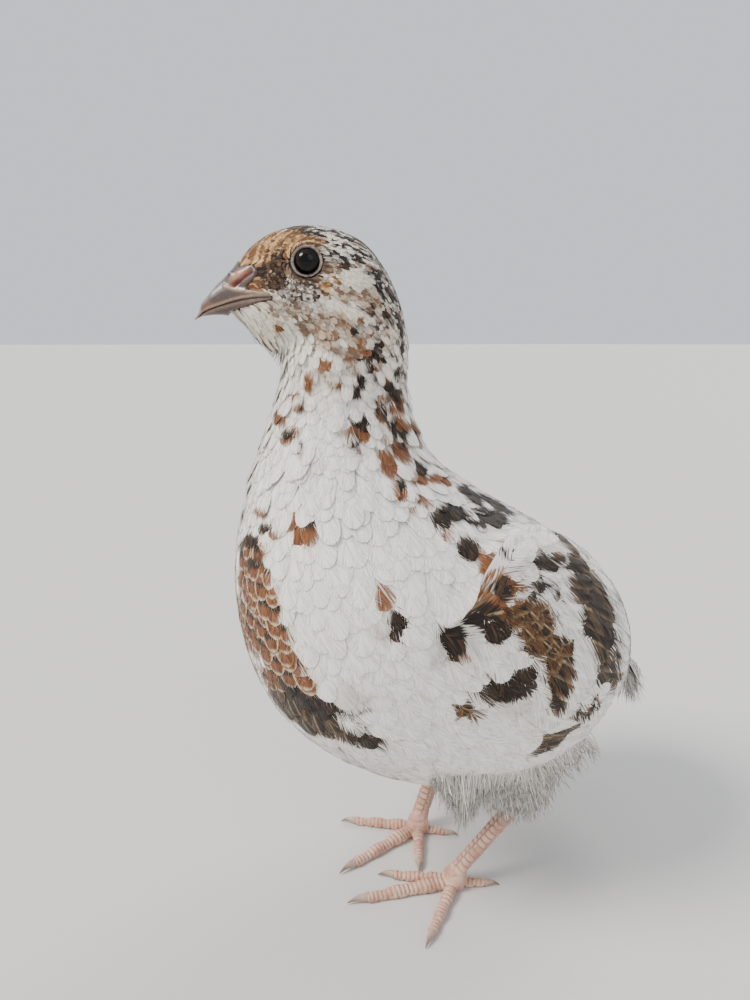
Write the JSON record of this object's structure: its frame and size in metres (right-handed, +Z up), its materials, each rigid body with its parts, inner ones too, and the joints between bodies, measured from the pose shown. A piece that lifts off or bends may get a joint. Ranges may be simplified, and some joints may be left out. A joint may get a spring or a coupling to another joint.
{
  "type": "coturnix quail",
  "caption": "Standing coturnix quail, alert with a stretched neck, short hooked bill, folded wings, short drooping tail and long bare toes flat on the ground.",
  "frame": {"origin": "on the floor, under the centre of the bounding box", "axes": "+X to the bird's own left, -Y ahead of the bird, +Z up"},
  "size_m": [0.081, 0.1266, 0.1632],
  "materials": {
    "feathers": "soft matt white and cream plumage with rust and black blotches",
    "wing_feathers": "soft brown, rust and black vanes with pale edges and white patches",
    "bill_horn": "smooth satin grey-brown horn, bluish along the ridge",
    "claw_horn": "satin horn",
    "leg_skin": "pinkish flesh with large plates in front",
    "eye": "wet and very dark brown"
  },
  "bodies": {
    "root": {"torso": "feathers", "neck": "feathers", "head": "feathers", "bill_upper": "bill_horn", "bill_lower": "bill_horn", "eye_left": "eye", "eye_right": "eye", "wing_left": "wing_feathers", "wing_right": "wing_feathers", "tail": "wing_feathers", "thigh_left": "feathers", "shank_left": "leg_skin", "foot_left": "leg_skin", "claw_hallux_left": "claw_horn", "claw_inner_left": "claw_horn", "claw_middle_left": "claw_horn", "claw_outer_left": "claw_horn", "thigh_right": "feathers", "shank_right": "leg_skin", "foot_right": "leg_skin", "claw_hallux_right": "claw_horn", "claw_inner_right": "claw_horn", "claw_middle_right": "claw_horn", "claw_outer_right": "claw_horn"}
  },
  "joints": []
}
